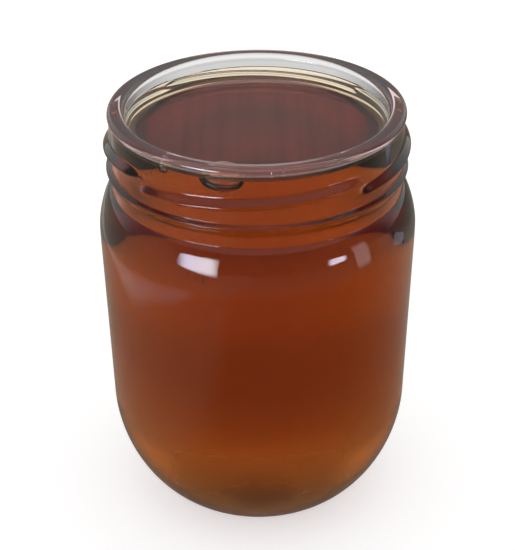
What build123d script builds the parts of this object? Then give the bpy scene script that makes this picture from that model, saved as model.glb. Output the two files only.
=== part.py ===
from build123d import *
from math import acos, cos, pi, radians, sin
import os

# A half-litre honey jar for an 82 mm twist-off lid, open and filled almost to the brim.
# All lengths are millimetres and all angles degrees. The origin is the centre of the base, on the
# surface it stands on. +Z points up through the mouth and -Y is the front.

# Foot: a flat bearing ring round a shallow push-up.
push_up_radius = 19.5
push_up_rise = 1.6
bearing_edge_rounding = 1.5
push_up_edge_rounding = 1.0

# Heel: the large soft curve from the bearing ring up to the side. The full curve would reach
# below the base, and the bearing ring cuts it off there.
heel_height = 31.0
heel_cut_off = 2.2
heel_centre_radius = 16.6
heel_exponent = 1.84

# Side: straight in section and a little wider at the top.
side_low_radius = 41.2
side_high_radius = 42.5
side_height = 52.0

# Shoulder: turns in from the side to the waist below the bead.
shoulder_height = 11.4
shoulder_exponent = 1.56
waist_rounding = 1.5

# Neck: a plain tube that carries the bead, the lugs and the rim.
neck_radius = 38.6
waist_height = 3.5
bead_height = 3.2
bead_stand_out = 1.3
lug_band_height = 13.4
rim_height = 1.7
rim_stand_out = 0.25
rim_outer_rounding = 1.4
rim_inner_rounding = 1.8

# Lugs: right-hand ridges that the lid's claws run under, tapered to nothing at both ends.
lug_count = 4
lug_start_angle = -49.0
lug_sweep = 97.0
lug_rise = 4.4
lug_start_above_bead = 2.9
lug_stand_out = 1.9
lug_depth = 2.6
lug_half_height = 2.1
lug_end_share = 0.14
lug_end_scale = 0.22
lug_steps = 14

# Inside: the wall, the floor and the bore.
side_wall = 2.5
neck_wall = 4.2
floor_height = 5.0
inner_heel_centre_radius = 15.3
inner_shoulder_below_side_top = 1.0
inner_shoulder_height = 15.0
inner_shoulder_fullness = 1.3

# Honey: fills the jar to just below the rim.
honey_below_rim = 6.0
honey_wall_clearance = 0.1

curve_steps = 8

side_top = heel_height + side_height
shoulder_top = side_top + shoulder_height
bead_bottom = shoulder_top + waist_height
bead_top = bead_bottom + bead_height
rim_bottom = bead_top + lug_band_height
jar_height = rim_bottom + rim_height
bore_radius = neck_radius - neck_wall
rim_radius = neck_radius + rim_stand_out
honey_level = jar_height - honey_below_rim
side_slope = (side_high_radius - side_low_radius, side_height)
inner_shoulder_bottom = side_top - inner_shoulder_below_side_top


def heel_curve(centre_radius, side_radius, floor, cut_off):
    """Points of a superellipse quarter that is cut off at the floor, from the floor to the side."""
    depth = heel_height - floor + cut_off
    start = acos((1 - cut_off / depth) ** (heel_exponent / 2))
    points = []
    for step in range(curve_steps + 1):
        angle = start + (pi / 2 - start) * step / curve_steps
        out = (side_radius - centre_radius) * sin(angle) ** (2 / heel_exponent)
        down = depth * max(cos(angle), 0.0) ** (2 / heel_exponent)
        points.append((centre_radius + out, heel_height - down))
    return points


def shoulder_curve():
    """Points of a superellipse quarter, from the side up and in to the neck."""
    points = []
    for step in range(curve_steps + 1):
        angle = pi / 2 * step / curve_steps
        out = (side_high_radius - neck_radius) * max(cos(angle), 0.0) ** (2 / shoulder_exponent)
        up = shoulder_height * sin(angle) ** (2 / shoulder_exponent)
        points.append((neck_radius + out, side_top + up))
    return points


def inner_shoulder_curve(side_radius, bore, bottom):
    """Points of a soft S from the side in to the bore; fullness above 1 keeps it wide for longer."""
    points = []
    for step in range(curve_steps + 1):
        share = step / curve_steps
        inward = (1 - cos(pi * share ** inner_shoulder_fullness)) / 2
        radius = side_radius - (side_radius - bore) * inward
        points.append((radius, bottom + inner_shoulder_height * share))
    return points


def cavity_outline(top, inset):
    """The inside of the jar in half section up to the height top, smaller all round by inset."""
    floor = floor_height + inset
    bore = bore_radius - inset
    low_radius = side_low_radius - side_wall - inset
    high_radius = side_high_radius - side_wall - inset
    heel = heel_curve(inner_heel_centre_radius, low_radius, floor, 0.0)
    shoulder = inner_shoulder_curve(high_radius, bore, inner_shoulder_bottom - inset)
    Line((0, floor), heel[0])
    Spline(*heel, tangents=((1, 0), side_slope))
    Line(heel[-1], shoulder[0])
    Spline(*shoulder, tangents=(side_slope, (0, 1)))
    Polyline(shoulder[-1], (bore, top), (0, top), (0, floor))


def ring_edge(solid, radius, height):
    """The circular edge of a turned solid that lies nearest to this radius and height."""
    circles = solid.edges().filter_by(GeomType.CIRCLE)
    return circles.sort_by(lambda edge: abs(edge.radius - radius) + abs(edge.arc_center.Z - height))[0]


def lug_section(share, first_angle):
    """The plane and the size of a lug's section at this share of the way along it."""
    angle = radians(first_angle + lug_sweep * share)
    outward = (sin(angle), -cos(angle), 0)
    along = (cos(angle), sin(angle), 0)
    seat_radius = neck_radius + lug_stand_out - lug_depth
    height = bead_top + lug_start_above_bead + lug_rise * share
    centre = (seat_radius * outward[0], seat_radius * outward[1], height)
    to_end = min(share, 1 - share) / lug_end_share
    swell = sin(pi / 2 * min(to_end, 1.0))
    scale = lug_end_scale + (1 - lug_end_scale) * swell
    return Plane(origin=centre, x_dir=outward, z_dir=along), scale


with BuildPart() as jar:
    with BuildSketch(Plane.XZ):
        with BuildLine():
            heel = heel_curve(heel_centre_radius, side_low_radius, 0.0, heel_cut_off)
            shoulder = shoulder_curve()
            TangentArc((0, push_up_rise), (push_up_radius, 0), tangent=(1, 0))
            Line((push_up_radius, 0), heel[0])
            Spline(*heel)
            Line(heel[-1], shoulder[0])
            Spline(*shoulder, tangents=(side_slope, (-1, 0)))
            Line(shoulder[-1], (neck_radius, bead_bottom))
            bead_crest = (neck_radius + bead_stand_out, (bead_bottom + bead_top) / 2)
            ThreePointArc((neck_radius, bead_bottom), bead_crest, (neck_radius, bead_top))
            Polyline((neck_radius, bead_top), (neck_radius, rim_bottom), (rim_radius, rim_bottom),
                     (rim_radius, jar_height), (0, jar_height), (0, push_up_rise))
        make_face()
    revolve(axis=Axis.Z)
    with BuildSketch(Plane.XZ):
        with BuildLine():
            cavity_outline(jar_height, 0.0)
        make_face()
    revolve(axis=Axis.Z, mode=Mode.SUBTRACT)
    fillet(ring_edge(jar, heel[0][0], 0), bearing_edge_rounding)
    fillet(ring_edge(jar, push_up_radius, 0), push_up_edge_rounding)
    fillet(ring_edge(jar, neck_radius, shoulder_top), waist_rounding)
    fillet(ring_edge(jar, rim_radius, jar_height), rim_outer_rounding)
    fillet(ring_edge(jar, bore_radius, jar_height), rim_inner_rounding)
    for number in range(lug_count):
        first_angle = lug_start_angle + 360 * number / lug_count
        for step in range(lug_steps + 1):
            plane, scale = lug_section(step / lug_steps, first_angle)
            with BuildSketch(plane):
                Ellipse(lug_depth * scale, lug_half_height * scale)
        loft()

jar.part.label = "jar"

with BuildPart() as honey:
    with BuildSketch(Plane.XZ):
        with BuildLine():
            cavity_outline(honey_level, honey_wall_clearance)
        make_face()
    revolve(axis=Axis.Z)

honey.part.label = "honey"

os.makedirs("parts", exist_ok=True)
export_step(jar.part, "parts/jar.step")
export_step(honey.part, "parts/honey.step")
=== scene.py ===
from random import Random
from math import acos, acosh, cos, pi, radians, sin, sqrt

import bpy
from mathutils import Matrix, Vector


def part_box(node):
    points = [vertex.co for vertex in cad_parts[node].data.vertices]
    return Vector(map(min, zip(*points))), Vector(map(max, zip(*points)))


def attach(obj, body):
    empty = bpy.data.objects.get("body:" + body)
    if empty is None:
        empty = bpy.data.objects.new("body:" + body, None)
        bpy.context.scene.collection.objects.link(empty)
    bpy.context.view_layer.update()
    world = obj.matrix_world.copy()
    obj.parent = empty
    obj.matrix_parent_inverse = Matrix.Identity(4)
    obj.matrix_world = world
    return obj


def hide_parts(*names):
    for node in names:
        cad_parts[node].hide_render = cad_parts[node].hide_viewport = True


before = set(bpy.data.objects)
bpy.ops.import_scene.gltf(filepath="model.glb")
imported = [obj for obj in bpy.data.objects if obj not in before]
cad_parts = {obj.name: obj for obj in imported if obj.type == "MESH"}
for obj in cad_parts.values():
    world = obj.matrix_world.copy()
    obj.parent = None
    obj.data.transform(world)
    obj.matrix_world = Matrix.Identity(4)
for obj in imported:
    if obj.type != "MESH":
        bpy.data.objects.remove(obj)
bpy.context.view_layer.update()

# A half-litre honey jar: pressed clear glass with a lugged twist-off neck, filled almost to the rim
# with clear amber honey. Lengths are metres and the jar stands on z = 0 with its front towards -Y.

MM = 0.001

jar_low, jar_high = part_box("jar")
honey_low, honey_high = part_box("honey")
jar_height = jar_high[2] - jar_low[2]
honey_level = honey_high[2]
floor_height = honey_low[2]

# ---- sizes of the glass ----
push_up_radius = 19.5 * MM
push_up_rise = 1.6 * MM
heel_height = 31.0 * MM
heel_cut_off = 2.2 * MM
heel_centre_radius = 16.6 * MM
heel_exponent = 1.84
side_low_radius = 41.2 * MM
side_high_radius = (jar_high[0] - jar_low[0]) / 2
side_top = 83.0 * MM
shoulder_height = 11.4 * MM
shoulder_exponent = 1.56
neck_radius = 38.6 * MM
waist_rounding = 0.5 * MM
bead_bottom = 98.1 * MM
bead_top = 101.0 * MM
bead_crest = 100.3 * MM
bead_stand_out = 1.3 * MM
bead_softness = 0.45 * MM
rim_ledge = 114.5 * MM
rim_stand_out = 0.3 * MM
rim_outer_rounding = 1.4 * MM
rim_inner_rounding = 1.8 * MM
bore_radius = 34.4 * MM
side_wall = 2.5 * MM
inner_heel_centre_radius = 15.3 * MM
inner_shoulder_bottom = 82.0 * MM
inner_shoulder_height = 15.0 * MM
inner_shoulder_fullness = 1.3

lug_count = 4
lug_start_angle = -49.0
lug_sweep = 91.0
lug_rise = 3.4 * MM
lug_crest_start = 104.7 * MM
lug_stand_out = 1.75 * MM
lug_face_height = 1.95 * MM
lug_underside_height = 1.2 * MM
lug_softness = 0.45 * MM
lug_first_end = 5.0
lug_last_end = 9.0

# The mould marks' angles from the front and their half width, in degrees.
seam_angles = (5.2, 9.4)
seam_half_width = 0.35
seam_stand_out = 0.3 * MM
bead_nick_angle = 12.8

stippled_height = 14.0 * MM

# ---- sizes of the honey ----
reach_into_wall = 0.15 * MM
skin_reach_into_wall = 0.08 * MM
meniscus_rise = 2.4 * MM
capillary_length = 2.07 * MM
skin_depth = 9.0 * MM

# ---- air in the honey: angle from the front, radius from the axis, height, half sizes ----
bubble_film = 0.3 * MM
top_bubbles = [
    {"angle": -15.2, "radius": 30.4 * MM, "height": 110.3 * MM,
     "half_width": 5.2 * MM, "half_depth": 3.6 * MM, "half_height": 2.9 * MM},
    {"angle": -40.5, "radius": 33.1 * MM, "height": 111.2 * MM,
     "half_width": 1.35 * MM, "half_depth": 1.0 * MM, "half_height": 1.35 * MM},
]

# The specks' least and greatest half size and depth inside the wall, and the clusters they stand in:
# angle, height, spread of the angle, spread of the height, number of specks.
speck_sizes = (0.12 * MM, 0.26 * MM)
speck_depths = (0.5 * MM, 1.6 * MM)
speck_clusters = [
    (-21.0, 85.5 * MM, 2.6, 1.0 * MM, 26),
    (-15.0, 93.0 * MM, 2.4, 0.8 * MM, 12),
    (-14.0, 106.5 * MM, 3.0, 1.3 * MM, 10),
    (0.0, 60.0 * MM, 22.0, 20.0 * MM, 16),
]

# ---- fineness of the meshes ----
turn_steps = 288
honey_turn_steps = 256
heel_steps = 40
side_steps = 40
shoulder_steps = 40
bead_steps = 26
lug_band_steps = 62
inner_heel_steps = 26
inner_shoulder_steps = 24
bubble_rings = 32
speck_rings = 6

# ---- how strongly the glass and the honey bend light ----
glass_ior = 1.5
honey_ior = 1.49


# ---------------------------------------------------------------------------------------------
# Outlines: lists of (radius, height) from the axis under the base, up outside, down inside.
# ---------------------------------------------------------------------------------------------

def superellipse_heel(centre_radius, side_radius, floor, cut_off, steps):
    """The heel's large soft curve, from the floor out and up to the side."""
    depth = heel_height - floor + cut_off
    start = acos((1 - cut_off / depth) ** (heel_exponent / 2))
    outline = []
    for step in range(steps + 1):
        angle = start + (pi / 2 - start) * step / steps
        out = (side_radius - centre_radius) * sin(angle) ** (2 / heel_exponent)
        down = depth * max(cos(angle), 0.0) ** (2 / heel_exponent)
        outline.append((centre_radius + out, heel_height - down))
    return outline


def straight(start, end, steps):
    """Evenly spaced points after start, up to and with end."""
    return [
        (start[0] + (end[0] - start[0]) * step / steps, start[1] + (end[1] - start[1]) * step / steps)
        for step in range(1, steps + 1)
    ]


def arc(centre, radius, first, last, steps):
    """Points of an arc in the outline's plane, with both ends, from the angle first to last."""
    return [
        (centre[0] + radius * cos(radians(first + (last - first) * step / steps)),
         centre[1] + radius * sin(radians(first + (last - first) * step / steps)))
        for step in range(steps + 1)
    ]


def eased(outline, low, high, rounds):
    """The outline with the points between two heights eased into a softer curve."""
    points = list(outline)
    for _ in range(rounds):
        points = [
            ((points[n - 1][0] + 2 * points[n][0] + points[n + 1][0]) / 4,
             (points[n - 1][1] + 2 * points[n][1] + points[n + 1][1]) / 4)
            if 0 < n < len(points) - 1 and low < points[n][1] < high else points[n]
            for n in range(len(points))
        ]
    return points


def soft_least(first, second, softness):
    """The lesser of two numbers, eased where they are close."""
    blend = min(max(0.5 + 0.5 * (second - first) / softness, 0.0), 1.0)
    return second + (first - second) * blend - softness * blend * (1 - blend)


def ridge(above_crest, stand_out, face_height, underside_height, softness):
    """A pressed ridge's section: a sloping upper face, a crest and a short underside.

    Both slopes are a little steeper than their heights say, so that the eased feet end in place.
    """
    face = (face_height - above_crest) * stand_out / (face_height - 0.3 * softness)
    underside = (underside_height + above_crest) * stand_out / (underside_height - 0.6 * softness)
    ridge_here = soft_least(soft_least(face, underside, softness), stand_out, softness)
    return -soft_least(-ridge_here, 0.0, softness)


def bead_swell(height):
    """How far the bead stands out of the neck at this height."""
    return ridge(height - bead_crest, bead_stand_out, bead_top - bead_crest, bead_crest - bead_bottom,
                 bead_softness)


def outer_outline():
    """The outside of the jar from under the base to the top of the rim."""
    outline = []
    for step in range(9):
        radius = push_up_radius * step / 9
        outline.append((radius, push_up_rise * (1 - (radius / push_up_radius) ** 2)))
    heel = superellipse_heel(heel_centre_radius, side_low_radius, 0.0, heel_cut_off, heel_steps)
    foot = heel[0][0]
    outline += [(push_up_radius - 0.4 * MM, 0.05 * MM), (push_up_radius + 0.3 * MM, 0.0)]
    outline += straight((push_up_radius + 0.3 * MM, 0.0), (foot - 0.8 * MM, 0.0), 3)
    outline += [(foot + 0.1 * MM, 0.22 * MM)]
    outline += heel[2:]
    side = straight(heel[-1], (side_high_radius, side_top), side_steps)
    # The straight side needs few points, and more where it is eased into the shoulder.
    outline += side[3:32:4] + side[32:]
    for step in range(1, shoulder_steps + 1):
        angle = pi / 2 * step / shoulder_steps
        out = (side_high_radius - neck_radius) * max(cos(angle), 0.0) ** (2 / shoulder_exponent)
        up = shoulder_height * sin(angle) ** (2 / shoulder_exponent)
        if out > waist_rounding * 0.6:
            outline.append((neck_radius + out, side_top + up))
    shoulder_top = side_top + shoulder_height
    waist_centre = (neck_radius + waist_rounding, shoulder_top + waist_rounding * 0.75)
    outline = eased(outline, side_top - 8 * MM, side_top + 8 * MM, 24)
    outline += arc(waist_centre, waist_rounding, 245, 180, 6)
    swell_margin = 0.6 * MM
    swell_start = bead_bottom - swell_margin
    outline += straight(outline[-1], (neck_radius, swell_start), 3)
    for step in range(1, bead_steps + 1):
        height = swell_start + (bead_top + 2 * swell_margin - bead_bottom) * step / bead_steps
        outline.append((neck_radius + bead_swell(height), height))
    outline += straight(outline[-1], (neck_radius, rim_ledge - 0.3 * MM), lug_band_steps)
    rim_radius = neck_radius + rim_stand_out
    outline += [(neck_radius + 0.02 * MM, rim_ledge - 0.1 * MM), (rim_radius, rim_ledge + 0.12 * MM)]
    rim_side_top = jar_height - rim_outer_rounding
    outline += straight(outline[-1], (rim_radius, rim_side_top), 3)
    outline += arc((rim_radius - rim_outer_rounding, rim_side_top), rim_outer_rounding, 0, 90, 12)[1:]
    return outline


def inner_outline(inset=0.0):
    """The inside of the jar, from the middle of the floor to the bore below the rim."""
    bore = bore_radius - inset
    low_radius = side_low_radius - side_wall - inset
    high_radius = side_high_radius - side_wall - inset
    glass_floor = floor_height - 0.1 * MM + inset
    heel = superellipse_heel(inner_heel_centre_radius, low_radius, glass_floor, 0.0, inner_heel_steps)
    outline = [(heel[0][0] * step / 8, glass_floor) for step in range(9)]
    outline += heel[1:]
    outline += straight(heel[-1], (high_radius, inner_shoulder_bottom), 6)
    for step in range(1, inner_shoulder_steps + 1):
        share = step / inner_shoulder_steps
        inward = (1 - cos(pi * share ** inner_shoulder_fullness)) / 2
        outline.append((high_radius - (high_radius - bore) * inward,
                        inner_shoulder_bottom + inner_shoulder_height * share))
    return outline


# ---------------------------------------------------------------------------------------------
# Relief on the glass
# ---------------------------------------------------------------------------------------------

def lug_height_at(angle, height):
    """How far the lugs stand out of the neck at this angle from the front, in degrees, and height."""
    stand_out = 0.0
    for number in range(lug_count):
        along = (angle - lug_start_angle - 360 * number / lug_count) % 360
        if along > lug_sweep:
            continue
        first_end = sin(pi / 2 * min(along / lug_first_end, 1.0)) ** 0.7
        last_end = sin(pi / 2 * min((lug_sweep - along) / lug_last_end, 1.0))
        swell = max(min(first_end, last_end), 0.02)
        above_crest = height - lug_crest_start - lug_rise * along / lug_sweep
        here = ridge(above_crest / (0.45 + 0.55 * swell), lug_stand_out, lug_face_height,
                     lug_underside_height, lug_softness)
        stand_out = max(stand_out, here * swell)
    return stand_out


def seam_height_at(angle, height):
    """How far the fine mould marks stand out: two upright ones under the rim and one on the bead."""
    marks = [(seam, rim_ledge - 0.6 * MM, jar_height) for seam in seam_angles]
    marks.append((bead_nick_angle, bead_crest - 0.3 * MM, bead_top))
    stand_out = 0.0
    for seam, low, high in marks:
        off = abs((angle - seam + 180) % 360 - 180) / seam_half_width
        if off < 1 and low < height < high:
            stand_out = max(stand_out, seam_stand_out * (1 - off) * min((height - low) / (0.4 * MM), 1.0))
    return stand_out


def turn_angles():
    """The angles of the jar's columns in degrees: even steps, and fine ones at the mould marks."""
    angles = {round(360 * step / turn_steps, 3) for step in range(turn_steps)}
    for seam in seam_angles + (bead_nick_angle,):
        angles |= {round(seam + seam_half_width * share, 3) for share in (-1, -0.5, 0, 0.5, 1)}
    return sorted(angles)


def turned_mesh(name, outline, angles, materials, material_of_band, relief=None):
    """A closed mesh turned round the jar's axis from an outline that starts and ends on it.

    Band number b lies between points b and b + 1 of the outline. The relief moves a point outward
    and upward, from its angle, radius and height.
    """
    vertices = [(0.0, 0.0, outline[0][1])]
    steps = len(angles)
    for radius, height in outline[1:-1]:
        for angle in angles:
            outward, upward = relief(angle, radius, height) if relief else (0.0, 0.0)
            here = radius + outward
            vertices.append((here * sin(radians(angle)), -here * cos(radians(angle)), height + upward))
    vertices.append((0.0, 0.0, outline[-1][1]))
    rings = len(outline) - 2
    faces = []
    for step in range(steps):
        following = (step + 1) % steps
        faces.append((0, 1 + following, 1 + step))
        for ring in range(rings - 1):
            low = 1 + ring * steps
            high = low + steps
            faces.append((low + step, low + following, high + following, high + step))
        last = 1 + (rings - 1) * steps
        faces.append((last + step, last + following, len(vertices) - 1))
    mesh = bpy.data.meshes.new(name)
    mesh.from_pydata(vertices, [], faces)
    mesh.update()
    for material in materials:
        mesh.materials.append(material)
    bands = rings + 1
    for polygon in mesh.polygons:
        polygon.use_smooth = True
        polygon.material_index = material_of_band(polygon.index % bands)
    return mesh


def add_piece(name, mesh, replaced=None):
    """Adds a mesh to the scene as a piece of the body root."""
    piece = bpy.data.objects.new(name, mesh)
    bpy.context.scene.collection.objects.link(piece)
    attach(piece, "root")
    if replaced:
        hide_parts(replaced)


# ---------------------------------------------------------------------------------------------
# Materials
# ---------------------------------------------------------------------------------------------

class Value:
    """A number socket of a node tree: sums and products of values add their Math nodes."""

    def __init__(self, nodes, socket):
        self.nodes = nodes
        self.socket = socket

    def combine(self, operation, first, second):
        node = self.nodes.add("ShaderNodeMath", {"operation": operation}, {0: first, 1: second})
        return Value(self.nodes, node.outputs[0])

    def __add__(self, other):
        return self.combine("ADD", self, other)

    def __sub__(self, other):
        return self.combine("SUBTRACT", self, other)

    def __mul__(self, other):
        return self.combine("MULTIPLY", self, other)

    def __radd__(self, other):
        return self.combine("ADD", other, self)

    def __rsub__(self, other):
        return self.combine("SUBTRACT", other, self)

    def __rmul__(self, other):
        return self.combine("MULTIPLY", other, self)

    def at_least(self, other):
        return self.combine("MAXIMUM", self, other)

    def at_most(self, other):
        return self.combine("MINIMUM", self, other)

    def power(self, other):
        return self.combine("POWER", self, other)

    def clamped(self):
        return self.at_least(0.0).at_most(1.0)


class Nodes:
    """Adds nodes to a tree, with their settings first and then their sockets."""

    def __init__(self, tree):
        self.tree = tree
        tree.nodes.clear()

    def add(self, kind, settings=None, sockets=None):
        node = self.tree.nodes.new(kind)
        for key, setting in (settings or {}).items():
            setattr(node, key, setting)
        for key, value in (sockets or {}).items():
            socket = self.socket_of(node, key)
            if isinstance(value, Value):
                self.tree.links.new(value.socket, socket)
            elif isinstance(value, bpy.types.NodeSocket):
                self.tree.links.new(value, socket)
            else:
                socket.default_value = value
        return node

    def socket_of(self, node, key):
        """The enabled input of that name, because a Mix node has one for each kind of data."""
        if isinstance(key, int):
            return node.inputs[key]
        return next(socket for socket in node.inputs if socket.name == key and socket.enabled)

    def value(self, kind, settings=None, sockets=None):
        """A new node's first output as a value."""
        return Value(self, self.add(kind, settings, sockets).outputs[0])

    def parts_of(self, vector):
        """A vector's X, Y and Z as values."""
        node = self.add("ShaderNodeSeparateXYZ", {}, {0: vector})
        return [Value(self, node.outputs[axis]) for axis in ("X", "Y", "Z")]

    def mixed(self, factor, first, second):
        """The first colour where the factor is 0, and the second where it is 1."""
        mix = self.add("ShaderNodeMix", {"data_type": "RGBA"}, {"Factor": factor, "A": first, "B": second})
        return next(socket for socket in mix.outputs if socket.enabled)

    def scaled(self, colour, brightness):
        """The colour made brighter or darker by a value."""
        settings = {"operation": "SCALE"}
        return self.add("ShaderNodeVectorMath", settings, {0: colour, "Scale": brightness}).outputs[0]

    def ramp(self, value, stops):
        """The value turned into another by straight steps through the stops (value, result)."""
        result = stops[0][1]
        for (low, before), (high, after) in zip(stops, stops[1:]):
            result = result + ((value - low) * (1 / (high - low))).clamped() * (after - before)
        return result


def new_material(name):
    material = bpy.data.materials.new(name)
    material.use_nodes = True
    return material, Nodes(material.node_tree)


def distance_from_axis(across, back):
    """How far a place is from the jar's axis."""
    return (across * across + back * back).power(0.5)


def clear_glass(name, ior, clearness=1.0, colour=(0.985, 0.995, 0.99, 1), stippled=False, behind=None):
    """Glass with a faint ripple; behind is a pale colour painted on its inner edge at the far side, a
    painted highlight.
    """
    material, nodes = new_material(name)
    place = nodes.add("ShaderNodeTexCoord").outputs["Object"]
    ripple = nodes.value("ShaderNodeTexNoise", {}, {"Vector": place, "Scale": 45.0, "Detail": 1.0})
    grain = nodes.value("ShaderNodeTexNoise", {}, {"Vector": place, "Scale": 800.0, "Detail": 1.0})
    relief = ripple + grain * 0.03
    bump = nodes.add("ShaderNodeBump", {}, {"Strength": 0.045, "Distance": 0.002, "Height": relief})
    roughness = 0.0
    if stippled:
        height = nodes.parts_of(place)[2]
        roughness = nodes.ramp(height, [(1 * MM, 0.45), (4 * MM, 0.22), (stippled_height, 0.0)])
    if behind:
        # Painted highlight: a pale colour on the rim's inner edge at the far side.
        across, back, _ = nodes.parts_of(place)
        inner_edge = bore_radius + rim_inner_rounding
        at_inner_edge = nodes.ramp(distance_from_axis(across, back),
                                   [(inner_edge - 0.4 * MM, 1.0), (inner_edge + 0.4 * MM, 0.0)])
        far_side = nodes.ramp(back, [(0.0, 0.0), (15 * MM, 1.0)])
        colour = nodes.mixed(at_inner_edge * far_side, colour, behind)
    glass = nodes.add("ShaderNodeBsdfPrincipled", {}, {
        "Base Color": colour, "Roughness": roughness, "IOR": ior,
        "Transmission Weight": clearness, "Normal": bump.outputs[0]})
    nodes.add("ShaderNodeOutputMaterial", {}, {"Surface": glass.outputs[0]})
    return material


def honey_depth_material():
    """The honey's depth: amber that takes out the blue and the green, and a slight haze."""
    material, nodes = new_material("amber_honey_depth")
    body = nodes.add("ShaderNodeBsdfPrincipled", {}, {
        "Base Color": (1, 1, 1, 1), "Roughness": 0.0, "IOR": 1.0, "Transmission Weight": 1.0})
    amber = nodes.add("ShaderNodeVolumeAbsorption", {}, {"Color": (0.83, 0.535, 0.15, 1), "Density": 90.0})
    haze = nodes.add("ShaderNodeVolumeScatter", {}, {
        "Color": (1.0, 0.55, 0.3, 1), "Density": 2.6, "Anisotropy": 0.3})
    cloudy = nodes.add("ShaderNodeAddShader", {}, {0: amber.outputs[0], 1: haze.outputs[0]})
    nodes.add("ShaderNodeOutputMaterial", {}, {"Surface": body.outputs[0], "Volume": cloudy.outputs[0]})
    return material


def honey_top_painted_light(nodes):
    """Painted light on the honey's top: streaks of two browns that are painted reflections, painted shade
    deeper towards the wall, a dark painted reflection in a ring at the far side, and a pale painted glow at
    the wall.
    """
    across, back, _ = nodes.parts_of(nodes.add("ShaderNodeTexCoord").outputs["Object"])
    from_axis = distance_from_axis(across, back)
    towards_wall = from_axis + nodes.ramp(back, [(0.0, 0.0), (12 * MM, 1.4 * MM)])
    inside = nodes.ramp(towards_wall, [(31.4 * MM, 1.0), (32.2 * MM, 0.0)])
    # Painted reflections: streaks of two browns across the top.
    along = nodes.add("ShaderNodeCombineXYZ", {}, {"X": across * 260, "Y": back * 6}).outputs[0]
    streaks = nodes.value("ShaderNodeTexNoise", {}, {"Vector": along, "Scale": 1.0, "Detail": 3.0})
    painted_reflection_streaks = nodes.mixed(nodes.ramp(streaks, [(0.40, 0.0), (0.60, 1.0)]),
                           (0.92, 0.285, 0.17, 1), (0.75, 0.23, 0.14, 1))
    # Painted shade deeper towards the wall, and a dark painted reflection in a ring at the far side.
    far_side = nodes.ramp(back, [(0.0, 0.0), (12 * MM, 1.0)])
    painted_far_ring = far_side * nodes.ramp(from_axis, [(28.1 * MM, 0.0), (28.8 * MM, 1.0),
                                                 (30.2 * MM, 1.0), (30.6 * MM, 0.0)])
    painted_shade_share = nodes.ramp(from_axis, [(12 * MM, 0.0), (28 * MM, 0.35)]).at_least(painted_far_ring * 0.93)
    shaded = nodes.mixed(painted_shade_share, painted_reflection_streaks, (0.03, 0.03, 0.04, 1))
    # Pale painted glow where the surface meets the wall.
    return nodes.mixed(inside, (1.0, 0.82, 0.54, 1), shaded)


def honey_skin_material(name, ior, clearness=1.0):
    """A clear skin that bends light by ior; one that isn't wholly clear has the surface's painted light as
    its colour.
    """
    material, nodes = new_material(name)
    colour = honey_top_painted_light(nodes) if clearness < 1 else (1, 1, 1, 1)
    skin = nodes.add("ShaderNodeBsdfPrincipled", {}, {
        "Base Color": colour, "Roughness": 0.0, "IOR": ior, "Transmission Weight": clearness})
    nodes.add("ShaderNodeOutputMaterial", {}, {"Surface": skin.outputs[0]})
    return material


def make_jar():
    """The glass, with its lugs and mould marks, in one closed mesh."""
    inside = inner_outline()
    contact = honey_level + meniscus_rise
    rim_side_top = jar_height - rim_inner_rounding
    inside += straight(inside[-1], (bore_radius, contact), 8)
    wetted = len(inside)
    inside += straight(inside[-1], (bore_radius, rim_side_top), 6)
    rim = arc((bore_radius + rim_inner_rounding, rim_side_top), rim_inner_rounding, 180, 90, 10)
    inside += rim[1:]
    outside = outer_outline()
    outline = outside + inside[::-1]

    outside_from = bore_radius + rim_inner_rounding
    first_wetted_band = len(outline) - wetted

    def relief(angle, radius, height):
        if radius < outside_from or height < bead_crest - 0.5 * MM:
            return 0.0, 0.0
        swell = seam_height_at(angle, height)
        if bead_top < height < rim_ledge - 0.2 * MM:
            swell += lug_height_at(angle, height)
        return swell, 0.0

    glass = [clear_glass("clear_glass", glass_ior),
             clear_glass("clear_glass_against_honey", glass_ior / honey_ior),
             clear_glass("stippled_foot", glass_ior, stippled=True),
             # Painted reflection: the rim's glass is tinted purple-brown and made a little milky.
             clear_glass("rim_glass_painted_reflection", glass_ior, clearness=0.88, colour=(0.84, 0.48, 0.48, 1),
                         behind=(0.93, 0.91, 0.90, 1))]
    foot_bands = [band for band, point in enumerate(outside) if point[1] < stippled_height]
    first_rim_band = next(band for band, point in enumerate(outside) if point[1] > rim_ledge)

    def finish_of_band(band):
        if band >= first_wetted_band:
            return 1
        if first_rim_band <= band < len(outside) + len(rim):
            return 3
        return 2 if band in foot_bands else 0

    mesh = turned_mesh("jar_glass", outline, turn_angles(), glass, finish_of_band, relief)
    add_piece("jar_glass", mesh, "jar")


def wall_radius_at(height):
    """The radius of the jar's inside at this height."""
    outline = inner_outline() + [(bore_radius, jar_height)]
    for (radius, low), (next_radius, high) in zip(outline, outline[1:]):
        if low <= height <= high and high > low:
            return radius + (next_radius - radius) * (height - low) / (high - low)
    return bore_radius


def meniscus_outline(wall):
    """The honey's surface from the wall to the middle, drawn up the glass as a wetting liquid is."""
    def run(rise):
        share = rise / capillary_length
        return capillary_length * (acosh(2 / share) - sqrt(4 - share * share))

    outline = []
    rise = meniscus_rise
    while rise > 0.012 * MM:
        outline.append((wall - run(rise) + run(meniscus_rise), honey_level + rise))
        rise *= 0.86
    edge = outline[-1][0]
    outline += [(edge * (1 - step / 20), honey_level) for step in range(1, 21)]
    return outline


def point_at(angle, radius, height):
    return Vector((radius * sin(radians(angle)), -radius * cos(radians(angle)), height))


def domed(angle, radius, height):
    """How far the honey's surface is lifted here by the bubbles that stand in it."""
    lift = 0.0
    for bubble in top_bubbles:
        turn = radians((angle - bubble["angle"] + 180) % 360 - 180)
        if abs(turn) > 0.5:
            continue
        aside = radius * sin(turn) / (bubble["half_width"] + bubble_film)
        inward = (radius * cos(turn) - bubble["radius"]) / (bubble["half_depth"] + bubble_film)
        off = aside * aside + inward * inward
        if off < 1:
            top = bubble["height"] + (bubble["half_height"] + bubble_film) * sqrt(1 - off)
            lift = max(lift, top - height)
    return lift


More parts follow.
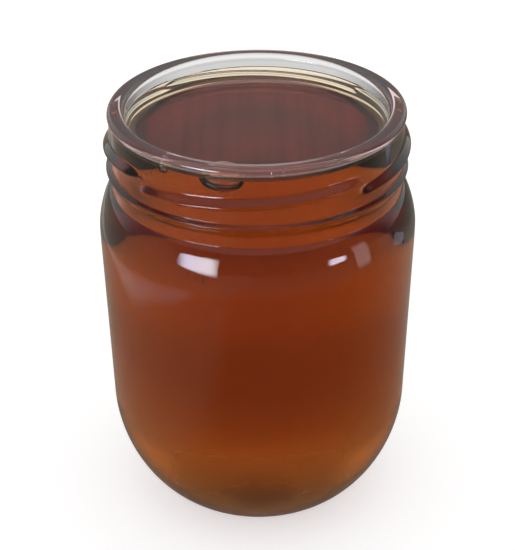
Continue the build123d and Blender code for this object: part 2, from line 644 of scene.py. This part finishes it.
def honey_angles():
    """The angles of the honey's columns in degrees, closer together at the bubbles that stand in it."""
    angles = {round(360 * step / honey_turn_steps, 3) for step in range(honey_turn_steps)}
    for bubble in top_bubbles:
        spread = 1.15 * (bubble["half_width"] + bubble_film) / bubble["radius"] * 180 / pi
        angles |= {round(bubble["angle"] + spread * (step / 24 - 1), 3) for step in range(49)}
    return sorted(angle % 360 for angle in angles)


def make_honey():
    """The honey's body, and its top layer, which carries the painted light of the surface."""
    angles = honey_angles()
    body = inner_outline(-reach_into_wall)
    wall = bore_radius + reach_into_wall
    contact = honey_level + meniscus_rise
    body += straight(body[-1], (wall, contact), 10)
    under_skin = [(radius, height - 0.02 * MM) for radius, height in meniscus_outline(wall)[1:]]

    def lifted(angle, radius, height):
        if radius > bore_radius - 0.02 * MM or height < honey_level - 0.03 * MM:
            return 0.0, 0.0
        return 0.0, domed(angle, radius, height)

    depth_mesh = turned_mesh("honey_depth", body + under_skin, angles, [honey_depth_material()],
                             lambda band: 0, lifted)
    add_piece("honey_depth", depth_mesh, "honey")

    layer_bottom = honey_level - skin_depth
    skin_wall = bore_radius + skin_reach_into_wall
    skin = [(0.0, layer_bottom)]
    skin += straight((0.0, layer_bottom), (skin_wall, layer_bottom), 20)
    skin += straight(skin[-1], (skin_wall, contact), 16)
    under = len(skin)
    skin_materials = [honey_skin_material("honey_surface", honey_ior, clearness=0.9),
                      honey_skin_material("honey_under_surface", 1.0)]
    skin_mesh = turned_mesh("honey_surface", skin + meniscus_outline(skin_wall)[1:], angles, skin_materials,
                            lambda band: 0 if band >= under - 1 else 1, lifted)
    add_piece("honey_surface", skin_mesh)


def add_ball(vertices, faces, middle, turn, sizes, rings):
    """Adds an ellipsoid with its three half sizes along sideways, outward and up, turned about +Z."""
    segments = 2 * rings
    first = len(vertices)
    sideways = Vector((cos(radians(turn)), sin(radians(turn)), 0.0))
    outward = Vector((sin(radians(turn)), -cos(radians(turn)), 0.0))
    vertices.append(middle - Vector((0.0, 0.0, sizes[2])))
    for ring in range(1, rings):
        tilt = pi * ring / rings
        for segment in range(segments):
            round_it = 2 * pi * segment / segments
            vertices.append(middle + sideways * (sizes[0] * sin(tilt) * cos(round_it))
                            + outward * (sizes[1] * sin(tilt) * sin(round_it))
                            - Vector((0.0, 0.0, sizes[2] * cos(tilt))))
    vertices.append(middle + Vector((0.0, 0.0, sizes[2])))
    last = len(vertices) - 1
    for segment in range(segments):
        following = (segment + 1) % segments
        faces.append((first, first + 1 + segment, first + 1 + following))
        for ring in range(rings - 2):
            low = first + 1 + ring * segments
            high = low + segments
            faces.append((low + segment, high + segment, high + following, low + following))
        low = first + 1 + (rings - 2) * segments
        faces.append((low + segment, last, low + following))


def make_bubbles():
    """The two bubbles that stand in the surface, and the specks of air near the front."""
    vertices = []
    faces = []
    for bubble in top_bubbles:
        middle = point_at(bubble["angle"], bubble["radius"], bubble["height"])
        sizes = (bubble["half_width"], bubble["half_depth"], bubble["half_height"])
        add_ball(vertices, faces, middle, bubble["angle"], sizes, bubble_rings)
    chance = Random(7)
    specks = []
    for angle, height, angle_spread, height_spread, count in speck_clusters:
        for _ in range(count):
            specks.append((chance.gauss(angle, angle_spread), chance.gauss(height, height_spread)))
    for angle, height in specks:
        size = chance.uniform(*speck_sizes)
        radius = wall_radius_at(height) - chance.uniform(*speck_depths)
        add_ball(vertices, faces, point_at(angle, radius, height), angle, (size, size, size), speck_rings)
    mesh = bpy.data.meshes.new("air_bubbles")
    mesh.from_pydata(vertices, [], faces)
    mesh.update()
    mesh.materials.append(honey_skin_material("air_in_honey", 1 / honey_ior))
    mesh.polygons.foreach_set("use_smooth", [True] * len(mesh.polygons))
    add_piece("air_bubbles", mesh)


# ---------------------------------------------------------------------------------------------
# Studio
# ---------------------------------------------------------------------------------------------

def make_camera():
    """The camera in front of the jar, above its mouth and looking down at it."""
    camera_data = bpy.data.cameras.new("camera")
    camera = bpy.data.objects.new("camera", camera_data)
    bpy.context.scene.collection.objects.link(camera)
    camera_data.sensor_fit = "HORIZONTAL"
    camera_data.sensor_width = 36.0
    camera_data.lens = 104.25
    camera_data.clip_start = 0.01
    rightward = Vector((0.99997, -0.00373, -0.00713))
    forward = Vector((-0.00035, 0.86489, -0.50196))
    upward = rightward.cross(forward)
    turn = Matrix((rightward, upward, -forward)).transposed().to_4x4()
    camera.matrix_world = Matrix.Translation(Vector((0.0, -0.35648, 0.27177))) @ turn
    bpy.context.scene.camera = camera


def floor_outlook(nodes):
    """How bright the floor is in the glass and the honey: mirrored and seen through.

    The third value is the share of the painted pool of window light at the left, which is mirrored a little
    bluer.
    """
    across, back, _ = nodes.parts_of(nodes.add("ShaderNodeNewGeometry").outputs["Position"])
    from_jar = distance_from_axis(across, back)

    front_to_back = nodes.ramp(back, [(-0.22, 0.16), (-0.13, 0.13), (-0.09, 0.10), (-0.045, 0.12),
                                      (0.0, 0.18), (0.075, 0.30), (0.12, 0.30), (0.19, 0.12)])
    left_side = nodes.ramp(across, [(-0.068, 0.28), (-0.050, 0.17), (-0.030, 0.0)])
    slanted = across + nodes.ramp(back, [(-0.13, -0.03), (-0.05, 0.0)])
    # Painted pool of window light on the floor at the left, seen only in reflections.
    painted_light_strip = (nodes.ramp(slanted, [(-0.185, 0.0), (-0.160, 1.0), (-0.149, 1.0), (-0.139, 0.0)])
             * nodes.ramp(back, [(-0.15, 0.0), (-0.11, 1.0), (0.02, 1.0), (0.05, 0.55)]))
    far_floor = nodes.ramp(from_jar, [(0.17, 0.0), (0.24, 0.12)])
    mirrored = front_to_back.at_least(left_side) + painted_light_strip * 0.48 + far_floor

    # Painted shadow: seen through the glass, the floor is darker in a ring round the jar and in front of it.
    painted_jar_shadow = nodes.ramp(from_jar, [(0.0, 0.95), (0.05, 0.90), (0.067, 0.74), (0.085, 0.68), (0.10, 0.74),
                                      (0.115, 0.88), (0.15, 1.0), (0.19, 1.02), (0.25, 0.7)])
    not_in_front = nodes.ramp(back, [(-0.05, 0.25), (-0.02, 1.0)])
    not_in_front = not_in_front.at_least(nodes.ramp(from_jar, [(0.15, 0.0), (0.30, 0.75)]))
    beside = (nodes.ramp(across * across, [(0.002, 0.0), (0.009, 0.65)])
              * nodes.ramp(back, [(0.11, 0.0), (0.17, 1.0)])
              * nodes.ramp(from_jar, [(0.35, 1.0), (0.6, 0.0)]))
    seen_through = painted_jar_shadow * not_in_front * (1 - beside)
    return mirrored, seen_through, painted_light_strip


def make_floor():
    """A pale floor that the camera sees almost white, with the jar's soft shadow."""
    reach = 4.0
    below = -0.1 * MM
    corners = [(-reach, -reach, below), (reach, -reach, below),
               (reach, reach, below), (-reach, reach, below)]
    mesh = bpy.data.meshes.new("floor")
    mesh.from_pydata(corners, [], [(0, 1, 2, 3)])
    floor = bpy.data.objects.new("floor", mesh)
    bpy.context.scene.collection.objects.link(floor)
    material, nodes = new_material("pale_floor")
    path = nodes.add("ShaderNodeLightPath")
    is_camera = Value(nodes, path.outputs["Is Camera Ray"])
    is_through = Value(nodes, path.outputs["Is Transmission Ray"])
    mirrored, seen_through, painted_light_strip = floor_outlook(nodes)
    pale = nodes.add("ShaderNodeBsdfDiffuse", {}, {"Color": (0.8, 0.8, 0.8, 1)})
    lift = nodes.add("ShaderNodeEmission", {}, {"Color": (1, 1, 1, 1), "Strength": 0.52})
    bright = nodes.add("ShaderNodeAddShader", {}, {0: pale.outputs[0], 1: lift.outputs[0]})
    outlook = mirrored + (seen_through - mirrored) * is_through
    mirrored_tint = nodes.mixed(painted_light_strip, (1.2, 1.03, 0.85, 1), (0.95, 1.0, 1.08, 1))
    tint = nodes.mixed(is_through, mirrored_tint, (1, 1, 1, 1))
    shown = nodes.add("ShaderNodeEmission", {}, {"Color": nodes.scaled(tint, outlook)})
    both = nodes.add("ShaderNodeMixShader", {}, {
        "Fac": is_camera, 1: shown.outputs[0], 2: bright.outputs[0]})
    nodes.add("ShaderNodeOutputMaterial", {}, {"Surface": both.outputs[0]})
    mesh.materials.append(material)


def make_world():
    """A plain soft studio, white to the camera, with its own outlook for the glass and the honey."""
    world = bpy.data.worlds.new("studio")
    bpy.context.scene.world = world
    world.use_nodes = True
    nodes = Nodes(world.node_tree)
    path = nodes.add("ShaderNodeLightPath")
    is_camera = Value(nodes, path.outputs["Is Camera Ray"])
    is_through = Value(nodes, path.outputs["Is Transmission Ray"])
    sharp = is_through.at_least(Value(nodes, path.outputs["Is Glossy Ray"]))
    across, back, up = nodes.parts_of(nodes.add("ShaderNodeTexCoord").outputs["Generated"])
    sideways = across * across

    behind = nodes.ramp(back, [(0.0, 0.17), (0.5, 0.3), (0.85, 0.42)])
    beside = nodes.ramp(sideways, [(0.08, 0.0), (0.20, 1.0)]) * nodes.ramp(back, [(0.2, 0.0), (0.5, 0.6)])
    left = nodes.ramp(across, [(-0.95, 0.22), (-0.7, 0.0)])
    room = behind + beside + left
    above = nodes.ramp(up, [(0.57, 0.0), (0.66, 1.0)])
    mirrored = room + (0.6 - room) * above

    low_beside = nodes.ramp(sideways, [(0.05, 0.0), (0.3, 0.3)]) * nodes.ramp(up, [(0.16, 1.0), (0.24, 0.0)])
    seen_through = (nodes.ramp(back, [(-0.1, 0.3), (0.1, 0.58)])
                    + nodes.ramp(sideways, [(0.05, 0.0), (0.3, 0.45)]) + low_beside)
    seen_through = seen_through * nodes.ramp(up, [(0.15, 1.0), (0.30, 1.5), (0.41, 1.6), (0.47, 0.3),
                                                  (0.72, 0.3), (0.82, 3.5)])

    room_light = 0.75
    outlook = mirrored + (seen_through - mirrored) * is_through
    plain = room_light + (outlook - room_light) * sharp
    strength = plain + (1 - plain) * is_camera
    light = nodes.add("ShaderNodeBackground", {}, {"Color": (1, 1, 1, 1), "Strength": strength})
    nodes.add("ShaderNodeOutputWorld", {}, {"Surface": light.outputs[0]})


def bright_panel(name, corners, brightness, left_colour, right_colour):
    """A bright panel with soft edges that only mirror-like surfaces show."""
    mesh = bpy.data.meshes.new(name)
    mesh.from_pydata(corners, [], [(0, 1, 2, 3)])
    panel = bpy.data.objects.new(name, mesh)
    bpy.context.scene.collection.objects.link(panel)
    material, nodes = new_material(name)
    across, _, up = nodes.parts_of(nodes.add("ShaderNodeNewGeometry").outputs["Position"])
    shares = []
    for place, axis in ((across, 0), (up, 2)):
        low = min(corner[axis] for corner in corners)
        high = max(corner[axis] for corner in corners)
        shares.append(nodes.ramp(place, [(low, 0.0), (high, 1.0)]))
    soft_edge = [(0.0, 0.0), (0.22, 1.0), (0.78, 1.0), (1.0, 0.0)]
    fade = nodes.ramp(shares[0], soft_edge) * nodes.ramp(shares[1], soft_edge)
    tint = nodes.mixed(shares[0], left_colour + (1,), right_colour + (1,))
    glow = nodes.add("ShaderNodeEmission", {}, {"Color": nodes.scaled(tint, fade * brightness)})
    nodes.add("ShaderNodeOutputMaterial", {}, {"Surface": glow.outputs[0]})
    mesh.materials.append(material)
    panel.visible_camera = False
    panel.visible_diffuse = False
    panel.visible_transmission = False
    panel.visible_volume_scatter = False
    panel.visible_shadow = False


def make_studio():
    """The camera, the floor, the surroundings, two windows and two lit curtains."""
    make_camera()
    make_floor()
    make_world()
    sky = (0.8, 0.82, 1.0)
    rose = (1.0, 0.86, 0.88)
    lilac = (0.9, 0.86, 1.0)
    bright_panel("left_window", [(-0.419, -0.305, 0.224), (-0.218, -0.462, 0.260), (-0.240, -0.481, 0.032),
                                 (-0.442, -0.304, 0.078)], 17.0, (0.66, 0.74, 1.0), (0.96, 0.98, 1.0))
    bright_panel("right_window", [(0.390, -0.369, 0.116), (0.471, -0.255, 0.097), (0.471, -0.254, 0.070),
                                  (0.396, -0.364, 0.074)], 16.0, sky, sky)
    bright_panel("curtain", [(0.218, -0.121, 0.143), (0.241, -0.063, 0.128), (0.242, -0.046, 0.032),
                             (0.226, -0.094, 0.020)], 2.2, rose, rose)
    bright_panel("far_curtain", [(0.241, 0.046, 0.058), (0.213, 0.098, 0.026), (0.200, 0.098, 0.002),
                                 (0.238, 0.037, 0.030)], 1.0, lilac, lilac)
    bpy.context.scene.view_settings.view_transform = "Standard"


make_jar()
make_honey()
make_bubbles()
make_studio()
